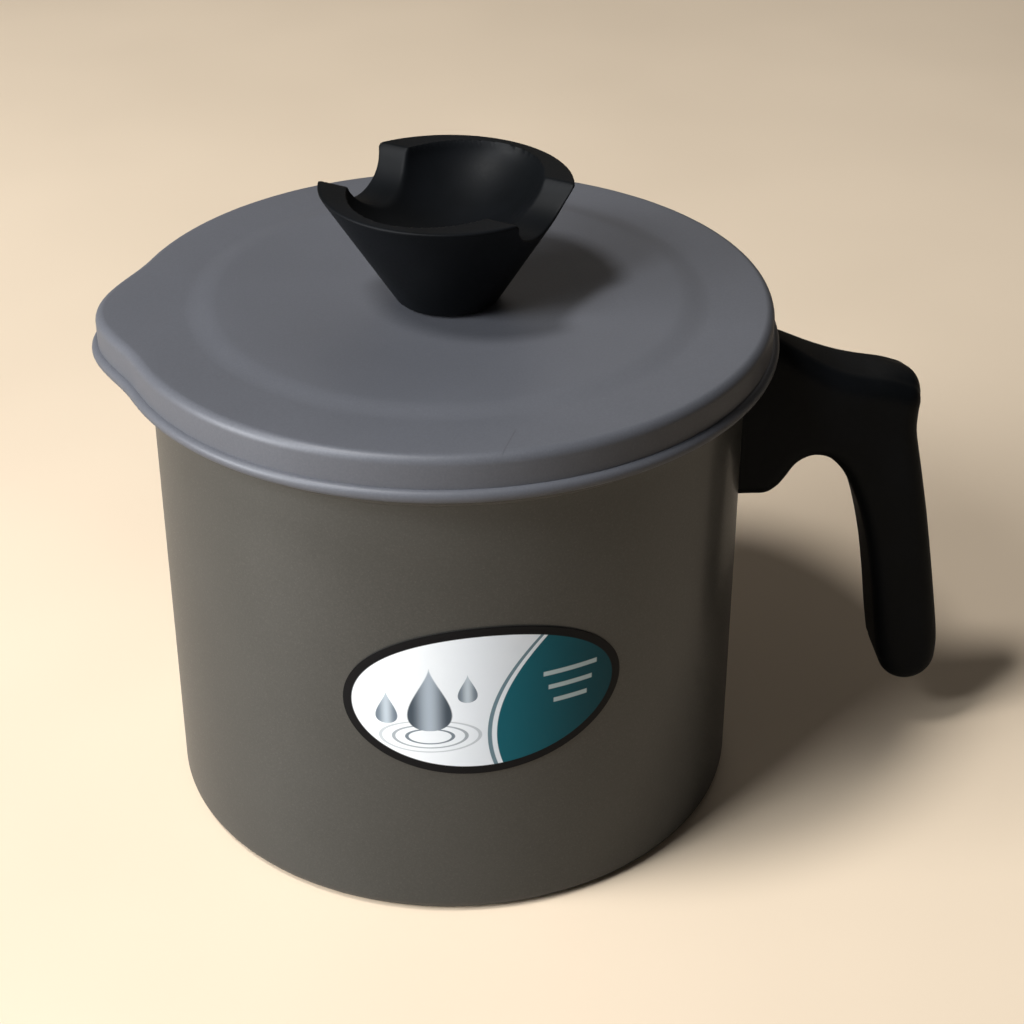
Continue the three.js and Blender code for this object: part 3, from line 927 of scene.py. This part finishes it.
def weave_tree(steel):
    """Geometry nodes for a round piece of plain weave: a grid of crossings, its two
    families of edges as wires, and a lift that alternates from crossing to crossing."""
    tree = bpy.data.node_groups.new("plain_weave", "GeometryNodeTree")
    tree.interface.new_socket("Cloth", in_out="OUTPUT", socket_type="NodeSocketGeometry")
    for name in ("Cloth radius", "Pitch", "Wire radius", "Height"):
        tree.interface.new_socket(name, in_out="INPUT", socket_type="NodeSocketFloat")
    graph = Graph(tree)
    given = tree.nodes.new("NodeGroupInput")
    cloth_radius, pitch, wire_radius, height = (Value(graph, given.outputs[i]) for i in range(4))
    half_count = (cloth_radius / pitch).floor()
    count = half_count * 2 + 1
    width = half_count * pitch * 2
    grid = graph.node("GeometryNodeMeshGrid", None, {
        "Size X": width, "Size Y": width, "Vertices X": count, "Vertices Y": count})
    index = graph.node("GeometryNodeInputIndex")
    column = (index / count).floor()
    parity = (index - column * count + column).remainder(2)
    lift = (parity * 2 - 1) * wire_radius
    position = graph.node("GeometryNodeInputPosition")
    reach = graph.node("ShaderNodeVectorMath", {"operation": "LENGTH"}, {0: position}, "Value")
    cloth = graph.node("GeometryNodeDeleteGeometry", {"domain": "POINT"}, {
        "Geometry": grid, "Selection": reach > cloth_radius})
    ends = [graph.node("GeometryNodeInputMeshEdgeVertices", None, None, name)
            for name in ("Position 1", "Position 2")]
    along = graph.node("ShaderNodeVectorMath", {"operation": "SUBTRACT"}, {0: ends[0], 1: ends[1]})
    across = graph.node("ShaderNodeSeparateXYZ", None, {"Vector": along}, "X").size()
    bar = graph.node("GeometryNodeCurvePrimitiveCircle", None, {
        "Resolution": 5, "Radius": wire_radius})
    families = []
    for side, kept in ((1, across < pitch / 2), (-1, across > pitch / 2)):
        level = graph.node("ShaderNodeCombineXYZ", None, {"Z": lift * side + height})
        raised = graph.node("GeometryNodeSetPosition", None, {"Geometry": cloth, "Offset": level})
        threads = graph.node("GeometryNodeDeleteGeometry", {"domain": "EDGE"}, {
            "Geometry": raised, "Selection": kept})
        curves = graph.node("GeometryNodeMeshToCurve", None, {"Mesh": threads})
        families.append(graph.node("GeometryNodeCurveToMesh", None, {
            "Curve": curves, "Profile Curve": bar, "Fill Caps": True}))
    joined = tree.nodes.new("GeometryNodeJoinGeometry")
    for family in reversed(families):
        tree.links.new(family.socket, joined.inputs["Geometry"])
    real = graph.node("GeometryNodeRealizeInstances", None, {
        "Geometry": Value(graph, joined.outputs["Geometry"])})
    coated = graph.node("GeometryNodeSetMaterial", None, {"Geometry": real, "Material": steel})
    tree.links.new(coated.socket, tree.nodes.new("NodeGroupOutput").inputs["Cloth"])
    return tree


def woven_cloth(name, tree, sizes):
    """An object with the weave made real. sizes are by the tree's input names."""
    piece = bpy.data.objects.new(name, bpy.data.meshes.new(name))
    bpy.context.collection.objects.link(piece)
    weave = piece.modifiers.new("weave", "NODES")
    weave.node_group = tree
    for item in tree.interface.items_tree:
        if item.in_out == "INPUT":
            weave[item.identifier] = sizes[item.name]
    baked_mesh(piece)
    piece.data.name = name
    return piece


gauze_low, gauze_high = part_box("strainer_mesh")
gauze_margin = 0.0008
gauze_pitch = 0.0013
gauze_wire_radius = 0.00015
gauze_grain = 0.0006
gauze_steel = satin_steel("gauze_stainless", colour(188, 190, 192), gauze_grain)
gauze = woven_cloth("strainer_gauze", weave_tree(gauze_steel), {
    "Cloth radius": gauze_high.x - gauze_margin,
    "Pitch": gauze_pitch,
    "Wire radius": gauze_wire_radius,
    "Height": (gauze_low.z + gauze_high.z) / 2,
})
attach(gauze, "strainer")
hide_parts("strainer_mesh")


# Lid: a disc pressed from sheet, coated cool grey. It rises over a soft step and dips again
# to the knob, and its rim turns down into a skirt that ends in a rolled hem.

lid_low, lid_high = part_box("lid")
lid_sheet = 0.0008
lid_corner = 0.0022
hem_round = 0.0015
skirt_height = 0.0106
land_rise = 0.0002
step_rise = 0.0008
step_radius = 0.0575
step_half = 0.004
lid_dip = 0.0014
seat_radius = 0.014
lid_outside = lid_high.x - hem_round
lid_inside = lid_outside - lid_sheet
lid_corner_top = lid_low.z + skirt_height
land_top = lid_corner_top + land_rise
corner_across = lid_outside - lid_corner
corner_height = lid_corner_top - lid_corner


def lid_crown(drop):
    """The lid's top from its middle out to the corner, or its underside if drop is the sheet."""
    crest = land_top + step_rise
    seat = crest - lid_dip
    slopes = ((seat_radius, step_radius - step_half, seat, crest),
              (step_radius - step_half, step_radius + step_half, crest, land_top))
    points = [(hole_radius, seat - drop), (seat_radius, seat - drop)]
    parts = 20
    for start, end, low, high in slopes:
        for part in range(1, parts + 1):
            share = part / parts
            across = start + (end - start) * share
            points.append((across, low + (high - low) * eased(share) - drop))
    return points


lid_profile = [
    *lid_crown(lid_sheet),
    *arc(corner_across, corner_height, lid_corner - lid_sheet, 90, 0, 8),
    *arc(lid_inside + soft_edge, lid_low.z + soft_edge, soft_edge, 180, 270, 3),
    *arc(lid_outside, lid_low.z + hem_round, hem_round, -90, 90, 18),
    *arc(corner_across, corner_height, lid_corner, 0, 90, 12),
    *reversed(lid_crown(0)),
]
cover = turned("pressed_lid", lid_profile, wall_steps)
step_foot = step_radius + step_half
land_width = corner_across - step_foot
swell_into_lip(cover, lambda across, height: min(max((across - step_foot) / land_width, 0), 1))


scratch_x, scratch_y = 0.0084, -0.0702
scratch_turn = math.radians(20.66)


def lid_coating():
    """Cool grey sprayed coat: flatter than the pot's, with a faint scratch near the front."""
    flake_size = 0.0003
    speckle_size = 0.0005
    cloud_size = 0.028
    skin_depth = 0.00005
    scratch_reach, scratch_fade = 0.004, 0.002
    scratch_half, scratch_soft = 0.00008, 0.00014
    finish = Finish("cool_grey_coating")
    speckle = finish.noise(speckle_size, 2)
    clouds = finish.noise(cloud_size, 3)
    flakes = finish.grains(flake_size)
    tone = speckle.ramp(0.3, 0.7) * 0.3 + clouds * 0.5 + (flakes > 0.95) * 0.2
    aside = finish.axis("X") - scratch_x
    ahead = finish.axis("Y") - scratch_y
    straight, slanted = math.cos(scratch_turn), math.sin(scratch_turn)
    along = ahead * straight + aside * slanted
    across = aside * straight - ahead * slanted
    scratch = along.line(scratch_reach, scratch_fade) * across.line(scratch_half, scratch_soft)
    coat = finish.blend(tone, colour(88, 90, 96), colour(101, 103, 110))
    finish.surface(
        base_color=finish.blend(scratch * 0.4, coat, colour(66, 66, 68)),
        metallic=0.12,
        specular_ior_level=0.35,
        roughness=0.38 + clouds * 0.08 + speckle * 0.04,
        normal=finish.bump(speckle, skin_depth, 0.4),
    )
    return finish.material


cover.data.materials.append(lid_coating())
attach(cover, "lid")
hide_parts("lid")


# Knob: a black phenolic moulding, an upside-down cone with an oval dish in its top. A groove
# along the dish leaves two notches for finger and thumb. A brass insert is moulded in.

knob_low, knob_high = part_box("knob")
insert_low, insert_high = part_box("knob_insert")
knob_rim = 0.0295
knob_base = 0.0118
dish_half_length = 0.0208
dish_half_width = 0.0264
dish_depth = 0.0145
dish_roundness = 1.6
notch_half = 0.013
notch_depth = 0.008
notch_turn = math.radians(146)
knob_soft = 0.0009
groove_radius = (notch_half ** 2 + notch_depth ** 2) / (2 * notch_depth)
groove_height = knob_high.z - notch_depth + groove_radius
knob_slope = (knob_rim - knob_base) / (knob_high.z - knob_low.z)


def soft_least(first, second, soft):
    """The lower of two heights, rounded over where they meet."""
    share = min(max(0.5 + 0.5 * (second - first) / soft, 0), 1)
    return second + (first - second) * share - soft * share * (1 - share)


def knob_top(across, turn):
    """Height of the knob's upper surface: rim, dish or groove, whichever is lowest."""
    height = knob_high.z
    forward = across * math.cos(turn - notch_turn)
    aside = across * abs(math.sin(turn - notch_turn))
    share = math.hypot(forward / dish_half_length, aside / dish_half_width)
    if share < 1:
        dip = (1 - share ** dish_roundness) ** (1 / dish_roundness)
        height = soft_least(height, knob_high.z - dish_depth * dip, knob_soft)
    if aside < groove_radius:
        groove = groove_height - math.sqrt(groove_radius ** 2 - aside ** 2)
        height = soft_least(height, groove, knob_soft)
    return height


def knob_edge(turn):
    """Where the upper surface meets the cone."""
    inner, outer = knob_base, knob_rim
    for _ in range(30):
        across = (inner + outer) / 2
        cone = knob_low.z + (across - knob_base) / knob_slope
        if knob_top(across, turn) > cone:
            inner = across
        else:
            outer = across
    return inner


def knob_path(turn, steps=84):
    """The knob's section at one turn, from the middle of the dish to the insert's bore."""
    edge = knob_edge(turn)
    edge_height = knob_top(edge, turn)
    soft = knob_soft * 1.3
    last = edge - soft
    points = []
    for step in range(steps + 1):
        across = last * step / steps
        points.append((across, knob_top(across, turn)))
    below = edge_height - soft * 0.8
    side = knob_base + (below - knob_low.z) * knob_slope
    start, end = points[-1], (side, below)
    round_parts = 6
    for part in range(1, round_parts + 1):
        t = part / round_parts
        points.append(tuple((1 - t) ** 2 * a + 2 * t * (1 - t) * b + t * t * c
                            for a, b, c in zip(start, (edge, edge_height), end)))
    foot = (knob_base + knob_soft * knob_slope, knob_low.z + knob_soft)
    cone_parts = 24
    for part in range(1, cone_parts + 1):
        share = part / cone_parts
        points.append(tuple(a + (b - a) * share for a, b in zip(end, foot)))
    bore = (insert_high.x - insert_low.x) / 2 + gap
    bore_top = insert_high.z + gap
    points.append((knob_base - knob_soft / 3, knob_low.z + knob_soft / 4))
    points.append((knob_base - knob_soft, knob_low.z))
    return [*points, (bore, knob_low.z), (bore, bore_top), (0, bore_top)]


def moulded_knob(turns=300):
    """The knob's sections side by side, closed at the dish's middle and the bore's end."""
    paths = [knob_path(2 * math.pi * number / turns) for number in range(turns)]
    vertices = [(0, 0, paths[0][0][1]), (0, 0, paths[0][-1][1])]
    for number, path in enumerate(paths):
        turn = 2 * math.pi * number / turns
        for across, height in path[1:-1]:
            vertices.append((across * math.cos(turn), across * math.sin(turn), height))
    inner = len(paths[0]) - 2
    faces = []
    for number in range(turns):
        here = 2 + number * inner
        after = 2 + (number + 1) % turns * inner
        faces.append((0, here, after))
        for step in range(inner - 1):
            faces.append((here + step, here + step + 1, after + step + 1, after + step))
        faces.append((1, after + inner - 1, here + inner - 1))
    return new_piece("moulded_knob", vertices, faces, 50)


knob = moulded_knob()
knob.data.materials.append(phenolic)
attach(knob, "lid")
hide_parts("knob")

brass_grain = 0.0005
refinish("knob_insert", satin_steel("machined_brass", colour(201, 168, 96), brass_grain))


# Stage: a plain pale floor that runs up into a backdrop, three soft lamps on the left with a
# faint one at the back, and the camera where the photograph was taken from. The floor is
# paler to the camera than to the lamps, so that it throws less light back at the pot.

floor_colour = colour(224, 205, 180)
floor_highlight = colour(243, 223, 197)
floor_bounce = colour(170, 157, 140)


def plain_floor():
    """A floor that bends up into a wall behind the part."""
    reach = 2.5
    wall_height = 2.0
    bend = 0.6
    cloud_size = 0.15
    back = [(-reach, 0), *arc(reach - bend, bend, bend, -90, 0, 15), (reach, wall_height)]
    vertices = [(x, y, z) for x in (-reach, reach) for y, z in back]
    count = len(back)
    faces = [(i, count + i, count + i + 1, i + 1) for i in range(count - 1)]
    piece = new_piece("pale_floor", vertices, faces, 60)
    finish = Finish("pale_floor")
    clouds = finish.noise(cloud_size, 2)
    seen = finish.node("ShaderNodeLightPath", output="Is Camera Ray")
    pale = finish.blend(clouds, floor_colour, floor_highlight)
    finish.surface(base_color=finish.blend(seen, floor_bounce, pale), roughness=0.7)
    piece.data.materials.append(finish.material)


def soft_lamp(name, place, aim_height, size, power, tint):
    """A round area lamp that shines at a point of the pot's axis."""
    lamp = bpy.data.lights.new(name, "AREA")
    lamp.shape = "DISK"
    lamp.size = size
    lamp.energy = power
    lamp.color = tint
    holder = bpy.data.objects.new(name, lamp)
    holder.location = place
    holder.rotation_mode = "QUATERNION"
    ray = Vector((0, 0, aim_height)) - Vector(place)
    holder.rotation_quaternion = ray.to_track_quat("-Z", "Y")
    bpy.context.collection.objects.link(holder)


# The lamps by name, place, height aimed at, width, power in watts and tint
lamps = (
    ("key", (-0.52, -0.24, 1.34), 0.06, 0.28, 11, (1.0, 0.99, 0.975)),
    ("side", (-1.24, -0.44, 0.48), 0.06, 0.8, 23, (0.98, 0.99, 1.0)),
    ("room", (0.45, 1.30, 1.25), 0.08, 1.2, 1.6, (1.0, 0.97, 0.93)),
    ("window", (-0.80, -0.62, 1.04), 0.10, 0.36, 8.5, (0.94, 0.97, 1.0)),
)
plain_floor()
for lamp in lamps:
    soft_lamp(*lamp)

world = bpy.data.worlds.new("studio")
world.use_nodes = True
background = world.node_tree.nodes["Background"]
background.inputs["Color"].default_value = (1.0, 0.95, 0.90, 1)
background.inputs["Strength"].default_value = 0.05
bpy.context.scene.world = world

# The camera's place and angles, solved from the pot's round edges
camera_place = (-0.02398, -0.45763, 0.34756)
camera_turn = 0.0849
camera_dip = 0.5482
camera_data = bpy.data.cameras.new("camera")
camera_data.sensor_width = 36
camera_data.lens = 76.29
camera = bpy.data.objects.new("camera", camera_data)
camera.location = camera_place
camera.rotation_euler = (math.pi / 2 - camera_dip, 0, -camera_turn)
bpy.context.collection.objects.link(camera)
bpy.context.scene.camera = camera
bpy.context.scene.view_settings.view_transform = "Standard"
